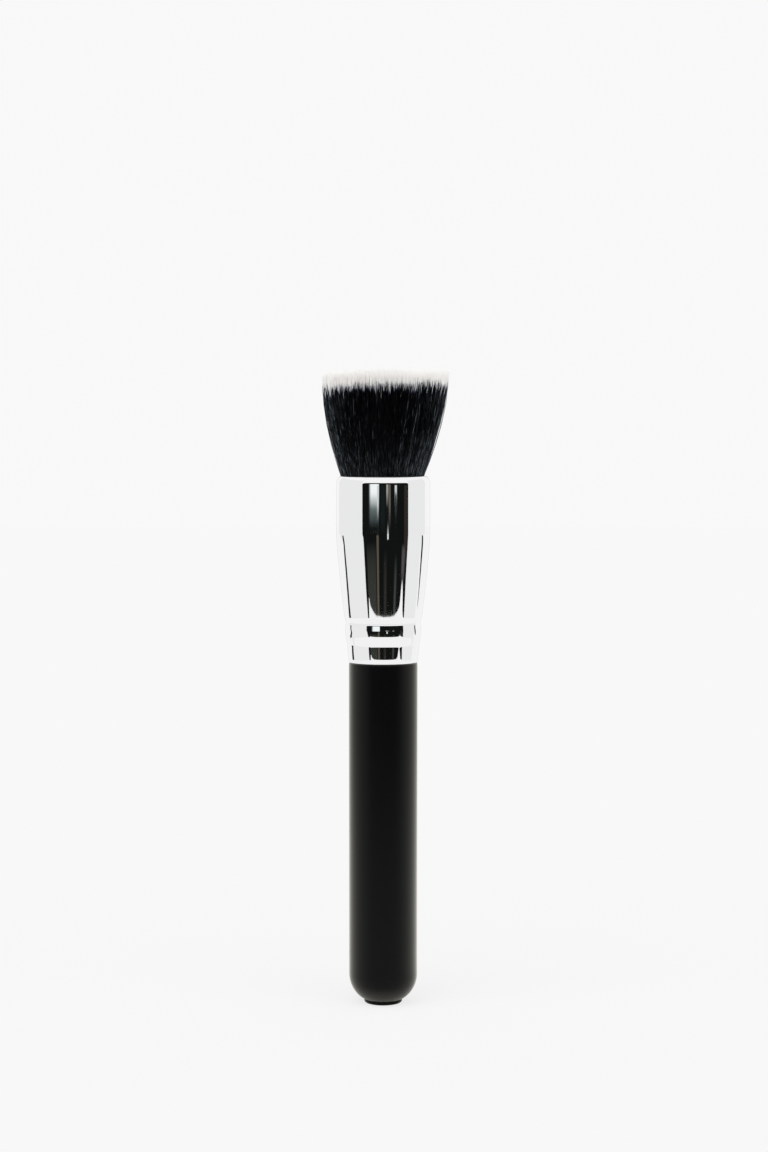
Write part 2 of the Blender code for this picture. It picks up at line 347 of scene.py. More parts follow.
class Finish:
    """The nodes of one material, or of the world."""

    def __init__(self, owner):
        owner.use_nodes = True
        self.owner = owner
        self.tree = owner.node_tree
        self.tree.nodes.clear()

    def node(self, kind, settings=None, inputs=None, output=0):
        """Adds a node, makes its settings, then sets or links its inputs, and returns one output."""
        node = self.tree.nodes.new("ShaderNode" + kind)
        for key, value in (settings or {}).items():
            if key == "stops":
                self.set_stops(node.color_ramp, value)
            else:
                setattr(node, key, value)
        for key, value in (inputs or {}).items():
            if isinstance(value, Wire):
                self.tree.links.new(value.socket, node.inputs[key])
            else:
                node.inputs[key].default_value = value
        return Wire(self, node.outputs[output]) if node.outputs else None

    def set_stops(self, ramp, stops):
        """Gives a colour ramp, which starts with two elements, one for each stop."""
        for _ in range(len(stops) - 2):
            ramp.elements.new(0.5)
        for element, (place, colour) in zip(ramp.elements, stops):
            element.position = place
            element.color = (*colour, 1.0)

    def place(self):
        """Object coordinates, in metres in the brush's own frame."""
        return self.node("TexCoord", output="Object")

    def part(self, vector, axis):
        return self.node("SeparateXYZ", None, {0: vector}, output=axis)

    def vectors(self, operation, *values):
        """A Vector Math node on wires or plain vectors."""
        return self.node("VectorMath", {"operation": operation}, dict(enumerate(values)))

    def stretch(self, vector, scale):
        return self.node("Mapping", None, {"Vector": vector, "Scale": scale})

    def noise(self, vector, scale, detail=2.0):
        return self.node("TexNoise", None, {"Vector": vector, "Scale": scale, "Detail": detail})

    def facing(self, **inputs):
        """How far the surface faces away, from 0 seen straight on to 1 at the edge."""
        return self.node("LayerWeight", None, {"Blend": FACING_BLEND, **inputs}, output="Facing")

    def ease(self, value, low, high, to_low=0.0, to_high=1.0):
        """A soft step of a value between low and high."""
        return self.node("MapRange", {"interpolation_type": "SMOOTHSTEP"},
                         {"Value": value, "From Min": low, "From Max": high,
                          "To Min": to_low, "To Max": to_high})

    def blend(self, share, first, second):
        """A mix of two colours by a share."""
        return self.node("Mix", {"data_type": "RGBA"}, {0: share, 6: first, 7: second}, output=2)

    def bump(self, height, distance, strength):
        return self.node("Bump", None, {"Height": height, "Distance": distance, "Strength": strength})

    def surface(self, **inputs):
        """A Principled surface, its sockets named with underscores for spaces."""
        named = {key.replace("_", " "): value for key, value in inputs.items()}
        shader = self.node("BsdfPrincipled", None, named)
        self.node("OutputMaterial", None, {"Surface": shader})
        return self.owner


def grey(level):
    return (level, level, level, 1.0)


def new_finish(name):
    return Finish(bpy.data.materials.new(name))


def chrome_finish():
    """Chrome plate: near mirror, with faint haze patches and the slow ripple of drawn tube."""
    finish = new_finish("chrome_plate")
    place = finish.place()
    haze = finish.noise(place, scale=420.0, detail=3.0)
    ripple = finish.noise(place, scale=160.0, detail=1.0)
    return finish.surface(Base_Color=finish.blend(haze, *CHROME_TONES), Metallic=1.0,
                          Roughness=0.018 + haze * 0.02,
                          Normal=finish.bump(ripple, distance=0.00002, strength=0.2))


def lacquer_finish():
    """Matte black lacquer on turned wood, with bare beech on the tenon that the ferrule hides.

    The lacquer is deeper black high up, a painted shade, and has a painted sheen towards its edges, more so
    low down and on the right, with painted floor light on its butt.
    """
    finish = new_finish("matte_lacquer")
    place = finish.place()
    across = finish.part(place, "X")
    height = finish.part(place, "Z")
    cloud = finish.noise(place, scale=260.0, detail=4.0)
    grain = finish.noise(place, scale=9000.0)
    black = finish.blend(cloud, *LACQUER_TONES)
    # Painted shade: deeper black high up
    black = finish.blend(finish.ease(height, *PAINTED_SHADE_HEIGHTS, 0.0, PAINTED_SHADE_HIGH), black, LACQUER_SHADED_HIGH)

    # Painted sheen towards the edges, stronger low down and on the right, weaker at the foot
    facing = finish.facing()
    glow = facing ** BROAD_GLOW[0] * BROAD_GLOW[1] + facing ** NARROW_GLOW[0] * NARROW_GLOW[1]
    right = finish.ease(across, *GLOW_RIGHT_ACROSS, 0.0, GLOW_RIGHT_GAIN)
    right = right * finish.ease(height, *GLOW_RIGHT_HEIGHTS)
    glow = glow * (GLOW_HIGH + finish.ease(height, *GLOW_GAIN_HEIGHTS) * (GLOW_GAIN + right))
    # Painted floor light on the butt, just above the foot
    painted_butt_light = finish.ease(height, *BUTT_PAINTED_LIGHT_HEIGHTS) * finish.ease(height, *BUTT_PAINTED_LIGHT_FOOT)
    glow = glow * finish.ease(height, *GLOW_FOOT_HEIGHTS, GLOW_FOOT, 1.0) + painted_butt_light * BUTT_PAINTED_LIGHT
    black = finish.blend(glow, black, LACQUER_PAINTED_SHEEN)

    beech_grain = finish.noise(finish.stretch(place, (900.0, 900.0, 60.0)), scale=1.0, detail=5.0)
    bare = finish.ease(height, *BARE_HEIGHTS)
    return finish.surface(Base_Color=finish.blend(bare, black, finish.blend(beech_grain, *BEECH_TONES)),
                          Roughness=0.31 + cloud * 0.06 + bare * 0.25, Specular_IOR_Level=0.14, IOR=1.42,
                          Normal=finish.bump(grain, distance=0.00001, strength=0.2))


def filament_finish():
    """Filaments painted along their length: u holds the kind, of white level and tint, and v the height.

    Each is black up to its own start and turns through blue to white. The palest tint starts to turn lower.
    The black holds painted glints by its tint and its streaks, and more painted light at the tuft's sides, at
    its root and low on the right. Near the tips painted shade dims the white.
    """
    finish = new_finish("tapered_filament")
    uv = finish.node("UVMap", {"uv_map": UV_MAP})
    across = finish.part(uv, "X")
    along = finish.part(uv, "Y")
    level = (across * WHITE_LEVELS).floor() / WHITE_LEVELS
    tint = (across * WHITE_LEVELS * TINTS).floor() / TINTS - level * WHITE_LEVELS
    height = along * UV_SPAN + UV_LOW
    start = level * LEVEL_SPAN + LEVEL_LOW
    slow = finish.ease(tint, *SLOW_TINTS)
    whiteness = finish.ease(height - start, TURN_START - slow * SLOW_TURN, TURN_END)
    turning = finish.node("ValToRGB", {"stops": TURNING_STOPS}, {0: whiteness})
    # Painted shade dims the white near the tips
    pale = finish.blend(finish.ease(height, *TIP_SHADE_HEIGHTS, 0.0, TIP_SHADE_SHARE), turning, TIP_PAINTED_SHADE)

    place = finish.place()
    x = finish.part(place, "X")
    outward = finish.vectors("NORMALIZE", finish.vectors("MULTIPLY", place, (1.0, 1.0, 0.0)))
    rise = finish.vectors("MULTIPLY", place, (0.0, 0.0, STREAK_RISE))
    strands = finish.vectors("MULTIPLY_ADD", outward, (STREAK_TURNS, STREAK_TURNS, 0.0), rise)
    streaks = finish.ease(finish.noise(strands, scale=1.0), *STREAK_LEVELS)
    # Painted sheen at the tuft's limb, and painted light at its root and low on the right
    facing = finish.facing(Normal=outward)
    limb = facing ** LIMB_POWER * finish.ease(x, *LIMB_ACROSS, *LIMB_SHARES)
    root = finish.ease(height, *ROOT_HEIGHTS)
    corner = finish.ease(height, *CORNER_HEIGHTS) * finish.ease(x, *CORNER_ACROSS)

    def light(steady, streaked):
        return steady + streaks * streaked

    # Painted glints by tint, and all the painted light summed onto the black
    glint = tint * tint * tint * (GLINT_STRENGTH + facing * GLINT_FACING + root * GLINT_ROOT)
    lit = (glint * light(*GLINT_LIGHT) + limb * light(*LIMB_LIGHT) * (1.0 - root * LIMB_ROOT_LOSS)
           + root * light(*ROOT_LIGHT) + corner * light(*CORNER_LIGHT) + streaks * STREAK_LIGHT)
    dark = finish.blend(lit, *FILAMENT_BLACK_AND_PAINTED_GLINT)
    return finish.surface(Base_Color=finish.blend(whiteness, dark, pale), Specular_IOR_Level=0.08, IOR=1.5,
                          Roughness=0.32 + tint * 0.14 + whiteness * 0.2)


def core_finish():
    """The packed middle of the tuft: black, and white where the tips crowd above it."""
    finish = new_finish("packed_filaments")
    place = finish.place()
    threads = finish.noise(finish.stretch(place, (6000.0, 6000.0, 300.0)), scale=1.0, detail=3.0)
    level = finish.part(place, "Z") - finish.part(place, "X") * WHITE_SLOPE + threads * CORE_RAGGEDNESS
    dark = finish.blend(threads, *CORE_DARK_TONES)
    pale = finish.blend(threads, *CORE_PALE_TONES)
    return finish.surface(Base_Color=finish.blend(finish.ease(level, *CORE_WHITE), dark, pale),
                          Roughness=0.5 + threads * 0.2, Specular_IOR_Level=0.16,
                          Normal=finish.bump(threads, distance=0.0001, strength=0.5))


def resin_finish():
    """Amber potting resin with small cloudy patches."""
    finish = new_finish("amber_resin")
    cloud = finish.noise(finish.place(), scale=700.0, detail=4.0)
    return finish.surface(Base_Color=finish.blend(cloud, *RESIN_TONES), Roughness=0.16 + cloud * 0.16,
                          Normal=finish.bump(cloud, distance=0.0001, strength=0.3))


def glue_finish():
    """Dried wood glue, yellowish and uneven."""
    finish = new_finish("dried_glue")
    lumps = finish.noise(finish.place(), scale=1100.0, detail=3.0)
    return finish.surface(Base_Color=finish.blend(lumps, *GLUE_TONES), Roughness=0.42 + lumps * 0.25,
                          Normal=finish.bump(lumps, distance=0.0001, strength=0.4))


def grid_faces(rows, columns, rows_meet=False, columns_meet=False):
    """Quads between neighbouring points of a grid that is numbered row by row."""
    row, column = np.meshgrid(np.arange(rows if rows_meet else rows - 1),
                              np.arange(columns if columns_meet else columns - 1), indexing="ij")
    next_row = (row + 1) % rows
    next_column = (column + 1) % columns
    corners = [row * columns + column, row * columns + next_column,
               next_row * columns + next_column, next_row * columns + column]
    return np.stack(corners, axis=-1).reshape(-1, 4)


def new_piece(name, points, quads, triangles, finish, sharp_above=180.0):
    """One named object from an array of points and arrays of corner numbers."""
    mesh = bpy.data.meshes.new(name)
    corners = np.concatenate([quads.ravel(), triangles.ravel()])
    starts = np.concatenate([4 * np.arange(len(quads)), 4 * len(quads) + 3 * np.arange(len(triangles))])
    mesh.vertices.add(len(points))
    mesh.vertices.foreach_set("co", points.astype(np.float32).ravel())
    mesh.loops.add(len(corners))
    mesh.loops.foreach_set("vertex_index", corners.astype(np.int32))
    mesh.polygons.add(len(starts))
    mesh.polygons.foreach_set("loop_start", starts.astype(np.int32))
    mesh.update(calc_edges=True)
    mesh.validate()
    mesh.shade_smooth()
    mesh.set_sharp_from_angle(angle=math.radians(sharp_above))
    mesh.materials.append(finish)
    piece = bpy.data.objects.new(name, mesh)
    bpy.context.scene.collection.objects.link(piece)
    return piece


NO_TRIANGLES = np.zeros((0, 3), int)


def add_map(piece, name, corners):
    """A UV map from one pair of numbers for each corner of each face."""
    layer = piece.data.uv_layers.new(name=name)
    layer.data.foreach_set("uv", corners.astype(np.float32).ravel())


def turned(outline, sides):
    """An outline carried round the axis: radius times the cosine and sine of even angles, and height."""
    angle = np.linspace(0.0, math.tau, sides, endpoint=False)
    radius, height = outline[:, :1], outline[:, 1:]
    return np.stack([radius * np.cos(angle), radius * np.sin(angle), height + 0.0 * angle], axis=-1)


def capped(rings):
    """Points, quads and triangles of stacked rings closed by a fan on a pole below and one above."""
    rows, columns = rings.shape[:2]
    points = np.concatenate([rings.reshape(-1, 3), [rings[0].mean(axis=0)], [rings[-1].mean(axis=0)]])
    column = np.arange(columns)
    following = (column + 1) % columns
    last = (rows - 1) * columns
    low = np.stack([following, column, np.full(columns, rows * columns)], axis=1)
    high = np.stack([last + column, last + following, np.full(columns, rows * columns + 1)], axis=1)
    return points, grid_faces(rows, columns, columns_meet=True), np.concatenate([low, high])


def arc(centre, reach, rise, start, end, steps=40):
    """Points on an ellipse: centre plus reach times the cosine and rise times the sine of even angles."""
    angle = np.radians(np.linspace(start, end, steps + 1))
    return np.stack([centre[0] + reach * np.cos(angle), centre[1] + rise * np.sin(angle)], axis=1)


def bend(start, corner, end, steps=40):
    """A smooth bend between two points, which leaves the first towards a corner and ends coming from it.

    It is the three points weighted by the square of the way left, twice the way gone times the way left, and
    the square of the way gone.
    """
    share = np.linspace(0.0, 1.0, steps + 1)[:, None]
    ways = np.array([start, corner, end])
    return (1.0 - share) ** 2 * ways[0] + 2.0 * share * (1.0 - share) * ways[1] + share ** 2 * ways[2]


def spaced(outline, rows, bend_weight=0.002, softness=0.0, dense_rows=4001, least_step=1e-7):
    """The outline again with rows spaced evenly along its length plus its bend, so that curves get more.

    With softness, every point first becomes the mean of its neighbours that far along, which rounds creases.
    """
    step = np.hypot(*np.diff(outline, axis=0).T)
    outline = outline[np.concatenate([[True], step > least_step])]
    length = np.concatenate([[0.0], np.cumsum(np.hypot(*np.diff(outline, axis=0).T))])
    even = np.linspace(0.0, length[-1], dense_rows)
    dense = np.stack([np.interp(even, length, outline[:, axis]) for axis in (0, 1)], axis=1)
    if softness:
        width = 2 * int(softness / even[1] / 2.0) + 1
        window = np.hanning(width + 2)[1:-1]
        window /= window.sum()
        padded = np.pad(dense, ((width // 2, width // 2), (0, 0)), mode="reflect", reflect_type="odd")
        dense = np.stack([np.convolve(padded[:, axis], window, mode="valid") for axis in (0, 1)], axis=1)
    run = np.diff(dense, axis=0)
    heading = np.unwrap(np.arctan2(run[:, 1], run[:, 0]))
    turn = np.concatenate([[0.0], np.abs(np.diff(heading)), [0.0]])
    measured = np.hypot(*run.T) + bend_weight * (turn[1:] + turn[:-1]) / 2.0
    measure = np.concatenate([[0.0], np.cumsum(measured)])
    wanted = np.linspace(0.0, measure[-1], rows)
    return np.stack([np.interp(wanted, measure, dense[:, axis]) for axis in (0, 1)], axis=1)


def handle_outline():
    """Turned foot, rounded lower end on part of an ellipse, straight grip, shoulder and tenon."""
    sweep = math.radians(BUTT_SWEEP)
    reach = (GRIP_RADIUS - FOOT_RADIUS - FOOT_LEDGE) / (1.0 - math.cos(sweep))
    rise = BUTT_HEIGHT / math.sin(sweep)
    outside = np.concatenate([
        [(POLE_RADIUS, 0.0)],
        arc((FOOT_RADIUS - FOOT_EDGE, FOOT_EDGE), FOOT_EDGE, FOOT_EDGE, -90.0, 0.0),
        [(FOOT_RADIUS, FOOT_HEIGHT)],
        arc((GRIP_RADIUS - reach, FOOT_HEIGHT + BUTT_HEIGHT), reach, rise, -BUTT_SWEEP, 0.0),
        arc((GRIP_RADIUS - SHOULDER_EDGE, SHOULDER_HEIGHT - SHOULDER_EDGE),
            SHOULDER_EDGE, SHOULDER_EDGE, 0.0, 90.0),
        [(TENON_RADIUS, SHOULDER_HEIGHT)]])
    tenon = np.array([(TENON_RADIUS, SHOULDER_HEIGHT + TENON_RISE), (TENON_RADIUS, TENON_TOP - TENON_CHAMFER),
                      (TENON_RADIUS - TENON_CHAMFER, TENON_TOP), (POLE_RADIUS, TENON_TOP)])
    return np.concatenate([spaced(outside, HANDLE_ROWS), tenon])


def taper_radius(share):
    """Radius of the taper at shares of its length: the waist, and the spread times one less a power of the
    way left.
    """
    return WAIST_RADIUS + TAPER_SPREAD * (1.0 - (1.0 - share) ** TAPER_CURVE)


def ferrule_outline():
    """Rolled foot, skirt, two soft grooves with the band between, taper, barrel, lip, and the bore."""
    share = np.linspace(TAPER_START_SHARE, 1.0, TAPER_ROWS)
    taper = np.stack([taper_radius(share), TAPER_FOOT + TAPER_LENGTH * share], axis=1)
    lip_foot = MOUTH_HEIGHT - LIP_RISE
    outside = np.concatenate([
        bend(FOOT_RIM, FOOT_BULGE, SKIRT_FOOT),
        bend(SKIRT_FOOT, SKIRT_MIDDLE, SKIRT_TOP),
        bend(BAND_FOOT, BAND_BULGE, BAND_SHOULDER),
        [BAND_TOP, GROOVE],
        taper,
        arc((MOUTH_RADIUS, lip_foot), BARREL_RADIUS - MOUTH_RADIUS, LIP_RISE, 0.0, 90.0)])
    outside = spaced(outside, FERRULE_ROWS, softness=CREASE_ROUNDING)
    bead = arc((MOUTH_RADIUS, MOUTH_HEIGHT - LIP_BEAD), LIP_BEAD, LIP_BEAD, BEAD_START, BEAD_END, BEAD_STEPS)
    bore_radius = BARREL_RADIUS - FERRULE_WALL
    bore = np.array([(bore_radius - BORE_CHAMFER, lip_foot + BORE_TOP), (bore_radius, lip_foot + BORE_STEP),
                     (bore_radius, TAPER_FOOT + TAPER_LENGTH)])
    skirt = np.array([BAND_TOP, BAND_FOOT, SKIRT_TOP, (SKIRT_FOOT[0], FOOT_RIM[1])])
    inside = np.concatenate([taper[-1 - INSIDE_STRIDE::-INSIDE_STRIDE], skirt]) - [FERRULE_WALL, 0.0]
    return np.concatenate([outside, bead, bore, inside])


def spread(height):
    """Spread of the tuft at heights above the mouth, as a factor on its neck.

    Above the mouth it is one, and the crown's share of the neck times one less a power of the way left. Below
    the mouth it runs on in a straight line.
    """
    share = np.clip(height / TUFT_REACH, -1.0, 1.0)
    above = 1.0 - (1.0 - np.maximum(share, 0.0)) ** FLARE_CURVE
    return 1.0 + CROWN_SPREAD / NECK_RADIUS * (above + FLARE_CURVE * np.minimum(share, 0.0))


def leaning(height):
    """How far to the right the tuft stands at heights above the mouth: a straight lean from a little left."""
    return TUFT_LEAN * np.clip(height / TUFT_REACH, 0.0, TUFT_LEAN_END) - TUFT_SET_LEFT


def filament_map(kind, height):
    """UV corners of filaments: u runs round each one inside its kind's cell, and v is the height as a share.

    One corner of each cap is set a step along, so that no cap's triangle is flat in the map.
    """
    turn = CELL_MARGIN + (1.0 - 2.0 * CELL_MARGIN) * np.arange(FILAMENT_SIDES + 1) / FILAMENT_SIDES
    u = (kind[:, None, None] + turn) / (WHITE_LEVELS * TINTS)
    v = ((height - UV_LOW) / UV_SPAN)[:, :, None]
    corners = np.stack(np.broadcast_arrays(u, v), axis=-1)
    low, high = corners[:, :-1], corners[:, 1:]
    sides = np.stack([low[:, :, :-1], low[:, :, 1:], high[:, :, 1:], high[:, :, :-1]], axis=3)
    low_cap = corners[:, 0, [2, 1, 0]] + np.array([(0.0, CAP_STEP), (0.0, 0.0), (0.0, 0.0)])
    high_cap = corners[:, -1, [0, 1, 2]] - np.array([(0.0, 0.0), (0.0, 0.0), (0.0, CAP_STEP)])
    return np.concatenate([sides.reshape(-1, 2), np.stack([low_cap, high_cap], axis=1).reshape(-1, 2)])


def filaments(name, rings, foot, angle, share, top, kind, radius, pull, bow, cross):
    """Many tapered three sided filaments as one mesh.

    Each follows the tuft's spread at its own share of the radius. Its angle drifts by its pull, times the
    height share to the power one and a half, and at the root by its cross, which fades as the square of the
    way left. It bows outwards by half a sine wave. Near its tip its width falls as a power of the way left.
    """
    count, rows = len(angle), len(rings)
    height = foot + (top - foot)[:, None] * np.array(rings)
    along = np.clip(height / TUFT_REACH, 0.0, 1.0)
    turn = angle[:, None] + pull[:, None] * along ** 1.5 + cross[:, None] * (1.0 - along) ** 2
    reach = NECK_RADIUS * share[:, None] * spread(height) + bow[:, None] * np.sin(math.pi * along)
    centre = np.stack([reach * np.cos(turn) + leaning(height), reach * np.sin(turn), MOUTH_HEIGHT + height],
                      axis=-1)
    way_left = np.clip((top[:, None] - height) / NARROWING, 0.0, 1.0)
    width = radius[:, None] * (TIP_WIDTH + (1.0 - TIP_WIDTH) * way_left ** TIP_CURVE)
    heading = turn[:, :1, None] + math.tau * np.arange(FILAMENT_SIDES) / FILAMENT_SIDES
    offset = np.stack([np.cos(heading), np.sin(heading), 0.0 * heading], axis=-1) * width[:, :, None, None]
    points = (centre[:, :, None, :] + offset).reshape(-1, 3)

    first = np.arange(count)[:, None, None] * (rows * FILAMENT_SIDES)
    last = (rows - 1) * FILAMENT_SIDES
    quads = (first + grid_faces(rows, FILAMENT_SIDES, columns_meet=True)).reshape(-1, 4)
    triangles = (first + np.array([[2, 1, 0], [last, last + 1, last + 2]])).reshape(-1, 3)
    piece = new_piece(name, points, quads, triangles, filament)
    add_map(piece, UV_MAP, filament_map(kind, height))
    return piece


def filament_halves(strands, rings, foot, halves):
    """Two pieces of filaments, each of the strands that its half chooses."""
    return [filaments(name, rings, foot, **{key: values[chosen] for key, values in strands.items()})
            for name, chosen in halves]


def ragged_tips(share, across, rise, drop, curve, loose):
    """Heights of the tips above the mouth.

    They are the reach and a rise, less at the edge by a power of the share, more to the right by a slope,
    less by a drop times a power of an even draw, and a small normal draw.
    """
    count = len(share)
    return (TUFT_REACH + rise - CORNER_DROP * share ** CORNER_CURVE + TOP_SLOPE * across
            - drop * scatter.random(count) ** curve + scatter.normal(0.0, loose, count))


def skewed_rise(count, rise, skew):
    """Random rises of the white's start: a normal draw less a share of its square, so more lie low."""
    draw = scatter.normal(0.0, 1.0, count)
    return rise * (draw - skew * draw ** 2)


def white_kind(height, count, sheen=0.0):
    """The kind of each filament, from the height where it turns white and a tint drawn at random.

    The sheen, painted light on the outer filaments, is the share by which the draw is pushed towards the
    lighter tints, which carry brighter painted glints.
    """
    level = np.clip(np.round((height - LEVEL_LOW) / LEVEL_SPAN * WHITE_LEVELS), 0, WHITE_LEVELS - 1)
    draw = scatter.random(count)
    return level * TINTS + np.searchsorted(TINT_SHARES, draw + (1.0 - draw) * sheen)


def outer_sheen(angle, nearest):
    """Sheen of the outer filaments at angles round the axis, by which they take lighter tints with brighter
    painted glints.

    It is a power of the cosine, stronger on the left, which paints light on the tuft's sides, a rare draw for
    each lock times the square of the cosine, and a bell for each pale lock.
    """
    # Painted sheen at the tuft's sides, stronger on the left
    sheen = np.cos(angle) ** SIDE_SHEEN_CURVE * np.where(np.cos(angle) < 0.0, LEFT_SHEEN, RIGHT_SHEEN)
    sheen += (scatter.random(LOCKS) ** LOCK_SHEEN_CURVE)[nearest] * np.cos(angle) ** 2 * LOCK_SHEEN
    for middle, width, push in PALE_LOCKS:
        sheen += push * np.exp(-((angle - middle) / width) ** 2)
    return np.clip(sheen, 0.0, SHEEN_MOST)


def outer_filaments():
    """The filaments that show on the tuft's side, drawn together into small locks towards their tips.

    Each lies at an even angle plus a jitter, and is pulled a share of the way to the middle of its nearest
    lock. Its white starts on a slope across the tuft, plus its lock's own rise, an arch over the lock and a
    skewed draw. A few start early, and a few stray out of line. The palest ones are thicker.
    """
    count = OUTER_COUNT
    jitter = scatter.uniform(-OUTER_JITTER, OUTER_JITTER, count)
    angle = (np.arange(count) + jitter) * math.tau / count
    share = 1.0 - OUTER_DEPTH * scatter.random(count) ** OUTER_DEPTH_CURVE
    lock_jitter = scatter.uniform(-LOCK_JITTER, LOCK_JITTER, LOCKS)
    lock_angle = np.sort((np.arange(LOCKS) + lock_jitter) * math.tau / LOCKS)
    nearest = np.abs((angle[:, None] - lock_angle + math.pi) % math.tau - math.pi).argmin(axis=1)
    away = (lock_angle[nearest] - angle + math.pi) % math.tau - math.pi
    grip = scatter.uniform(*LOCK_GRIP, LOCKS)[nearest]
    loose = scatter.normal(0.0, LOCK_LOOSENESS, count)
    half = math.pi / LOCKS
    lock_rise = np.clip(scatter.normal(0.0, LOCK_RISE, LOCKS), -LOCK_RISE_MOST, LOCK_RISE_MOST)[nearest]
    across = CROWN_RADIUS * np.cos(angle)
    white = (WHITE_START + WHITE_SLOPE * across + WHITE_SIDE_RISE * np.cos(angle) ** 4 + lock_rise
             - LOCK_ARCH * (np.abs(away) / half - LOCK_ARCH_LEVEL)
             + skewed_rise(count, OUTER_STRAND_RISE, OUTER_STRAND_SKEW))
    early = scatter.random(count) < EARLY_SHARE
    white = np.where(early, white - scatter.uniform(*EARLY_DROP, count), white)
    top = ragged_tips(share, across, *OUTER_TIPS)
    stray = scatter.random(count) < STRAY_SHARE
    bow = np.where(stray, scatter.uniform(*STRAY_BOW, count), scatter.normal(0.0, BOW_SCATTER, count))
    pull = away * grip + loose * np.where(stray, STRAY_LOOSENESS, 1.0)
    cross = scatter.normal(0.0, ROOT_CROSS, count)
    radius = scatter.uniform(*OUTER_RADII, count) * np.where(early, EARLY_WIDTH, 1.0)
    kind = white_kind(white, count, outer_sheen(angle, nearest))
    radius = radius * np.where(kind % TINTS == TINTS - 1, PALEST_WIDTH, 1.0)
    strands = {"angle": angle, "share": share, "top": top, "kind": kind, "radius": radius, "pull": pull,
               "bow": bow, "cross": cross}
    return filament_halves(strands, OUTER_RINGS, OUTER_FOOT,
                           (("filaments_front", np.sin(angle) < 0.0),
                            ("filaments_back", np.sin(angle) >= 0.0)))


def inner_filaments():
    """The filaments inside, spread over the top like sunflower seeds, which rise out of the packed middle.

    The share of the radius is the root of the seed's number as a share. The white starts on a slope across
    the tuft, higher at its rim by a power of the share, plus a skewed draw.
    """
    count = INNER_COUNT
    index = np.arange(count)
    angle = index * math.pi * SEED_TURN + scatter.normal(0.0, INNER_JITTER, count)
    share = INNER_REACH * np.sqrt((index + 0.5) / count)
    across = CROWN_RADIUS * share * np.cos(angle)
    top = ragged_tips(share, across, *INNER_TIPS)
    white = (WHITE_START - INNER_WHITE_DROP + INNER_RIM_RISE * share ** INNER_RIM_CURVE + WHITE_SLOPE * across
             + skewed_rise(count, INNER_STRAND_RISE, INNER_STRAND_SKEW))
    kind = white_kind(white, count)
    radius = scatter.uniform(*INNER_RADII, count)
    pull = scatter.normal(0.0, INNER_PULL, count)
    strands = {"angle": angle, "share": share, "top": top, "kind": kind, "radius": radius, "pull": pull,
               "bow": np.zeros(count), "cross": np.zeros(count)}
    return filament_halves(strands, INNER_RINGS, INNER_FOOT,
                           (("filaments_inside_left", np.cos(angle) < 0.0),
                            ("filaments_inside_right", np.cos(angle) >= 0.0)))


def tuft_core():
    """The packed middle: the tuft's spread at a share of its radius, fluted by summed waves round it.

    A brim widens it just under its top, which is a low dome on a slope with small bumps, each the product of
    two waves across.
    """
    dome = np.linspace(0.0, math.pi / 2.0, CORE_DOME_ROWS + 1)[1:]
    side = np.linspace(CORE_FOOT, CORE_TOP, CORE_SIDE_ROWS)
    height = np.concatenate([side, CORE_TOP + CORE_DOME * np.sin(dome)])
    inward = np.concatenate([np.ones(CORE_SIDE_ROWS), np.linspace(1.0, CORE_POLE_SHARE, CORE_DOME_ROWS)])
    angle = np.linspace(0.0, math.tau, CORE_SIDES, endpoint=False)
    flutes = sum(depth * np.sin(waves * angle + phase) for depth, waves, phase in CORE_FLUTES)
    brim = CORE_BRIM * np.clip(1.0 - (CORE_TOP - height) / CORE_BRIM_DEPTH, 0.0, 1.0)
    radius = (NECK_RADIUS * (CORE_SHARE + brim) * spread(height) * inward)[:, None] * (1.0 + flutes)
    x = radius * np.cos(angle) + leaning(height)[:, None]
    y = radius * np.sin(angle)
    on_dome = inward[:, None] < 1.0
    ripples = [np.sin(along_x * x + along_y * y) for along_x, along_y in CORE_BUMP_WAVES]
    bumps = CORE_BUMP * ripples[0] * ripples[1] * on_dome
    rings = np.stack([x, y, MOUTH_HEIGHT + height[:, None] + bumps + TOP_SLOPE * x * on_dome], axis=-1)
    return new_piece("tuft_core", *capped(rings), core_finish())


def glossy_only(card):
    """Lets a card show in reflections alone."""
    for ray in ("camera", "diffuse", "shadow", "transmission", "volume_scatter"):
        setattr(card, "visible_" + ray, False)


def sheet_finish(name, colour, soft):
    """A plain glow of one colour, which fades over shares of the sheet at left, right, near and far."""
    finish = new_finish(name)
    glow = finish.node("Emission", None, {"Color": (*colour, 1.0), "Strength": 1.0})
    if any(soft):
        uv = finish.node("UVMap", {"uv_map": SHEET_MAP})
        u, v = finish.part(uv, "X"), finish.part(uv, "Y")
        shown = 1.0
        for value, share in zip((u, 1.0 - u, v, 1.0 - v), soft):
            if share:
                shown = shown * finish.ease(value, 0.0, share)
        clear = finish.node("BsdfTransparent")
        glow = finish.node("MixShader", None, {0: shown, 1: clear, 2: glow})
    finish.node("OutputMaterial", None, {"Surface": glow})
    finish.owner.cycles.emission_sampling = "NONE"
    return finish.owner


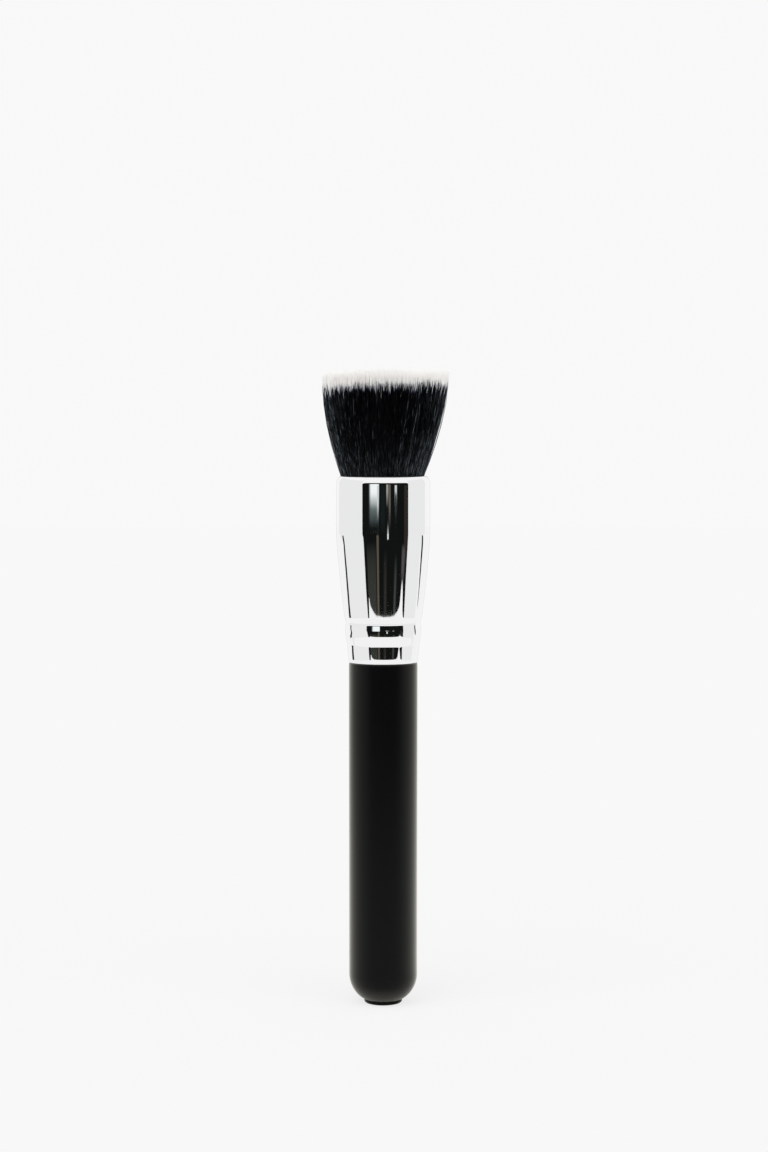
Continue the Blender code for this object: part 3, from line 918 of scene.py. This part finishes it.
def screen(name, wall, reach, left, right, colour, soft=(0.0, 0.0, 0.0, 0.0), near=None, layer=0):
    """A sheet that lies on the floor out to a wall distance and then stands up. Only reflections show it.

    Reach is the way along it from the brush: distance on the floor, then height on the wall. Left and right
    are its azimuths in degrees from the front, at each reach. Near may trim its near edge, as azimuths and
    reaches. Soft gives the shares of it that fade at left, right, near and far. A higher layer lies nearer.
    """
    across, along = np.meshgrid(np.linspace(0.0, 1.0, SHEET_COLUMNS), np.linspace(0.0, 1.0, SHEET_ROWS))
    way = reach[0] + (reach[-1] - reach[0]) * along
    azimuth = np.interp(way, reach, left) * (1.0 - across) + np.interp(way, reach, right) * across
    if near:
        start = np.interp(azimuth, *near)
        way = start + (reach[-1] - start) * along
    azimuth = np.radians(azimuth)
    distance = np.minimum(way, wall - LAYER_GAP * layer)
    height = SHEET_LIFT + LAYER_LIFT * layer + np.maximum(way - wall, 0.0)
    points = np.stack([distance * np.sin(azimuth), -distance * np.cos(azimuth), height], axis=-1)
    quads = grid_faces(SHEET_ROWS, SHEET_COLUMNS)
    made = new_piece(name, points.reshape(-1, 3), quads, NO_TRIANGLES,
                     sheet_finish(name + "_finish", colour, soft))
    add_map(made, SHEET_MAP, np.stack([across, along], axis=-1).reshape(-1, 2)[quads.ravel()])
    glossy_only(made)


def studio_reflections():
    """What the chrome mirrors: white boards beside the brush, and the dark room past the floor's edge."""
    paper_edge = ((-60.0, -41.6, -40.9, -39.2, -38.4, -37.3, -33.3, -27.7, -20.2, 2.4, 20.1, 32.0, 42.3, 47.6,
                   48.8, 49.8, 52.0, 53.6, 55.4, 56.4, 58.5, 60.0, 75.0),
                  (0.305, 0.305, 0.365, 0.388, 0.357, 0.349, 0.336, 0.3235, 0.3115, 0.304, 0.309, 0.3185,
                   0.337, 0.355, 0.375, 0.42, 0.46, 0.44, 0.41, 0.37, 0.35, 0.343, 0.343))
    screen("dark_room", ROOM_WALL, (0.31, 0.35, 0.41, 0.49, 0.60, 0.95, 1.0, 1.13, 1.2, 1.26, 1.31),
           (-47.6, -47.6, -47.9, -48.1, -48.5, -49.6, -51.5, -52.3, -51.5, -49.5, -44.0),
           (66.4, 66.4, 65.0, 64.0, 64.0, 64.0, 64.0, 64.0, 63.5, 62.0, 58.0), ROOM_DARK, near=paper_edge)
    board_reach = (0.305, 0.316, 0.330, 0.342, 0.358, 0.382, 0.415, 0.6)
    screen("left_board", BOARD_WALL, board_reach,
           (-113.0, -113.0, -111.0, -110.0, -109.0, -110.0, -137.0, -137.0),
           (-45.0, -46.2, -47.4, -47.5, -47.9, -48.8, -51.4, -51.4), BOARD_WHITE)
    screen("right_board", BOARD_WALL, board_reach, (65.0, 64.5, 63.0, 62.2, 62.1, 62.6, 62.9, 62.9),
           (109.0, 109.0, 108.0, 107.0, 106.0, 104.0, 123.0, 123.0), BOARD_WHITE)
    screen("back_shade", ROOM_WALL, (0.3, 1.0, 1.6), (161.0, 161.0, 161.0), (199.0, 199.0, 199.0), SHADE_GREY,
           (0.5, 0.5, 0.15, 0.2))
    screen("left_gap", GAP_WALL, (0.318, 0.337, 0.342, 0.349, 0.363, 0.385, 0.392, 0.402),
           (-122.5, -122.5, -122.0, -118.1, -115.1, -115.0, -118.0, -119.5),
           (-111.5, -111.5, -111.0, -109.1, -108.1, -109.6, -112.0, -113.5), GAP_BLACK, (0, 0, 0, 0.05))
    screen("right_gap", GAP_WALL, (0.3425, 0.350, 0.360, 0.373, 0.385, 0.397, 0.404),
           (115.1, 113.9, 111.1, 109.3, 109.6, 108.8, 107.5),
           (118.1, 116.9, 116.1, 115.7, 116.0, 114.2, 111.5), GAP_BLACK, (0, 0, 0.08, 0.08))

    # Upright streaks in the dark room: name, near and far reach, left and right azimuth, colour, soft edges
    streaks = (
        ("window_glow", 1.0955, 1.18, -36.6, -9.4, (0.10, 0.13, 0.13), (0.25, 0.08, 0.19, 0)),
        ("window", 1.1095, 1.18, -35.4, -9.4, (0.90, 0.95, 0.94), (0.25, 0.08, 0.17, 0)),
        ("window_edge", 1.1005, 1.13, -15.8, -10.6, (0.62, 0.66, 0.65), (0.3, 0.2, 0.59, 0)),
        ("brown_post", 0.31, 1.104, -17.0, -9.8, (0.098, 0.083, 0.063), (0.3, 0.3, 0, 0.1)),
        ("doorway", 1.1115, 1.15, 6.8, 13.0, (0.33, 0.31, 0.28), (0.2, 0.2, 0.28, 0)),
        ("door_frame", 1.094, 1.15, 13.0, 18.8, (0.125, 0.115, 0.100), (0.2, 0.3, 0.4, 0)),
        ("bright_slit", 0.87, 1.10, 9.6, 13.6, (0.78, 0.78, 0.75), (0.2, 0.2, 0.3, 0.05)),
        ("far_window", 1.1120, 1.134, 27.0, 34.2, (0.62, 0.64, 0.64), (0.3, 0.2, 0.3, 0.1)),
        ("far_window_glow", 1.098, 1.12, 27.0, 34.2, (0.03, 0.034, 0.034), (0.3, 0.3, 0.7, 0)),
        ("dim_curtain", 0.50, 1.13, 51.0, 61.0, (0.026, 0.023, 0.019), (0.3, 0, 0.2, 0)),
        ("dim_chair", 0.40, 0.82, 45.5, 58.5, (0.085, 0.075, 0.077), (0.4, 0.4, 0.25, 0.5)),
        ("floor_sheen", 0.31, 0.85, -41.5, -17.0, (0.036, 0.038, 0.033), (0.05, 0.1, 0, 1.0)),
        ("chair_leg", 0.31, 0.66, 0.2, 10.5, (0.027, 0.026, 0.023), (0.3, 0.3, 0, 1.0)),
        ("far_leg", 0.31, 0.62, 27.5, 37.0, (0.050, 0.053, 0.050), (0.4, 0.4, 0, 0.9)),
        ("teal_shade", 1.09, 1.13, -7.0, 5.5, (0.0085, 0.0125, 0.0120), (0.2, 0.2, 0.3, 0)))
    for layer, (name, near, far, left, right, colour, soft) in enumerate(streaks, start=1):
        screen(name, ROOM_WALL, (near, far), (left, left), (right, right), colour, soft,
               paper_edge if near < TRIMMED_REACH else None, layer)


def floor_and_world():
    """A plain pale floor under a plain pale world, which lights from all round and is the background."""
    radii = np.geomspace(*FLOOR_REACH, FLOOR_ROWS)
    rings = turned(np.stack([radii, 0.0 * radii], axis=1), FLOOR_SIDES)
    points = np.concatenate([rings.reshape(-1, 3), [(0.0, 0.0, 0.0)]])
    quads = grid_faces(FLOOR_ROWS, FLOOR_SIDES, columns_meet=True)[:, ::-1]
    side = np.arange(FLOOR_SIDES)
    centre = np.full(FLOOR_SIDES, FLOOR_ROWS * FLOOR_SIDES)
    middle = np.stack([side, (side + 1) % FLOOR_SIDES, centre], axis=1)
    finish = new_finish("pale_floor")
    mottle = finish.noise(finish.place(), scale=FLOOR_MOTTLE)
    paper = finish.node("BsdfDiffuse", None, {"Color": finish.blend(mottle, *map(grey, FLOOR_TONES))})
    shown = finish.node("Emission", None, {"Color": grey(BACKGROUND), "Strength": 1.0})
    seen = finish.node("LightPath", output="Is Camera Ray")
    surface = finish.node("MixShader", None, {0: seen * FLOOR_SHOWN, 1: paper, 2: shown})
    finish.node("OutputMaterial", None, {"Surface": surface})
    finish.owner.cycles.emission_sampling = "NONE"
    new_piece("floor", points, quads, middle, finish.owner)

    sky = Finish(bpy.data.worlds.new("studio"))
    bpy.context.scene.world = sky.owner
    rays = [sky.node("LightPath", output="Is " + kind + " Ray")
            for kind in ("Camera", "Glossy", "Transmission")]
    colour = sky.blend(rays[0] + rays[1] + rays[2], grey(AIR_LIGHT), grey(BACKGROUND))
    light = sky.node("Background", None, {"Color": colour, "Strength": 1.0})
    sky.node("OutputWorld", None, {"Surface": light})


def soft_lamp(name, azimuth, elevation, strength):
    """A broad far lamp, with the softness of a large diffuser. It lights, and shows in no reflection."""
    lamp = bpy.data.lights.new(name, "SUN")
    lamp.energy = strength
    lamp.angle = math.radians(LAMP_WIDTH)
    holder = bpy.data.objects.new(name, lamp)
    holder.rotation_euler = (math.radians(90.0 - elevation), 0.0, math.radians(azimuth))
    holder.visible_glossy = False
    bpy.context.scene.collection.objects.link(holder)


def camera():
    """The photograph's view: level with the tuft's neck, looking slightly down."""
    lens = bpy.data.cameras.new("camera")
    lens.lens = LENS
    lens.sensor_width = SENSOR_WIDTH
    lens.clip_start, lens.clip_end = CAMERA_CLIP
    holder = bpy.data.objects.new("camera", lens)
    holder.location = CAMERA_PLACE
    holder.rotation_euler = (math.radians(90.0 - CAMERA_DIP), 0.0, 0.0)
    bpy.context.scene.collection.objects.link(holder)
    bpy.context.scene.camera = holder


filament = filament_finish()

handle = new_piece("lacquered_handle", *capped(turned(handle_outline(), HANDLE_SIDES)), lacquer_finish(),
                   CREASE_ANGLE)
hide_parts("handle")

rings = turned(ferrule_outline(), FERRULE_SIDES)
ferrule = new_piece("chrome_ferrule", rings.reshape(-1, 3),
                    grid_faces(*rings.shape[:2], rows_meet=True, columns_meet=True), NO_TRIANGLES,
                    chrome_finish(), CREASE_ANGLE)
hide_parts("ferrule")

tuft = [tuft_core()] + outer_filaments() + inner_filaments()
for piece in tuft:
    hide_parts("bristle_tuft")

for piece in [handle, ferrule] + tuft:
    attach(piece, BODY)

for node, finish in (("epoxy_plug", resin_finish()), ("tenon_adhesive", glue_finish())):
    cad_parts[node].data.materials.clear()
    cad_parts[node].data.materials.append(finish)

floor_and_world()
soft_lamp("key_lamp", *KEY_LAMP)
soft_lamp("fill_lamp", *FILL_LAMP)
studio_reflections()
camera()

bpy.context.scene.view_settings.view_transform = "Standard"
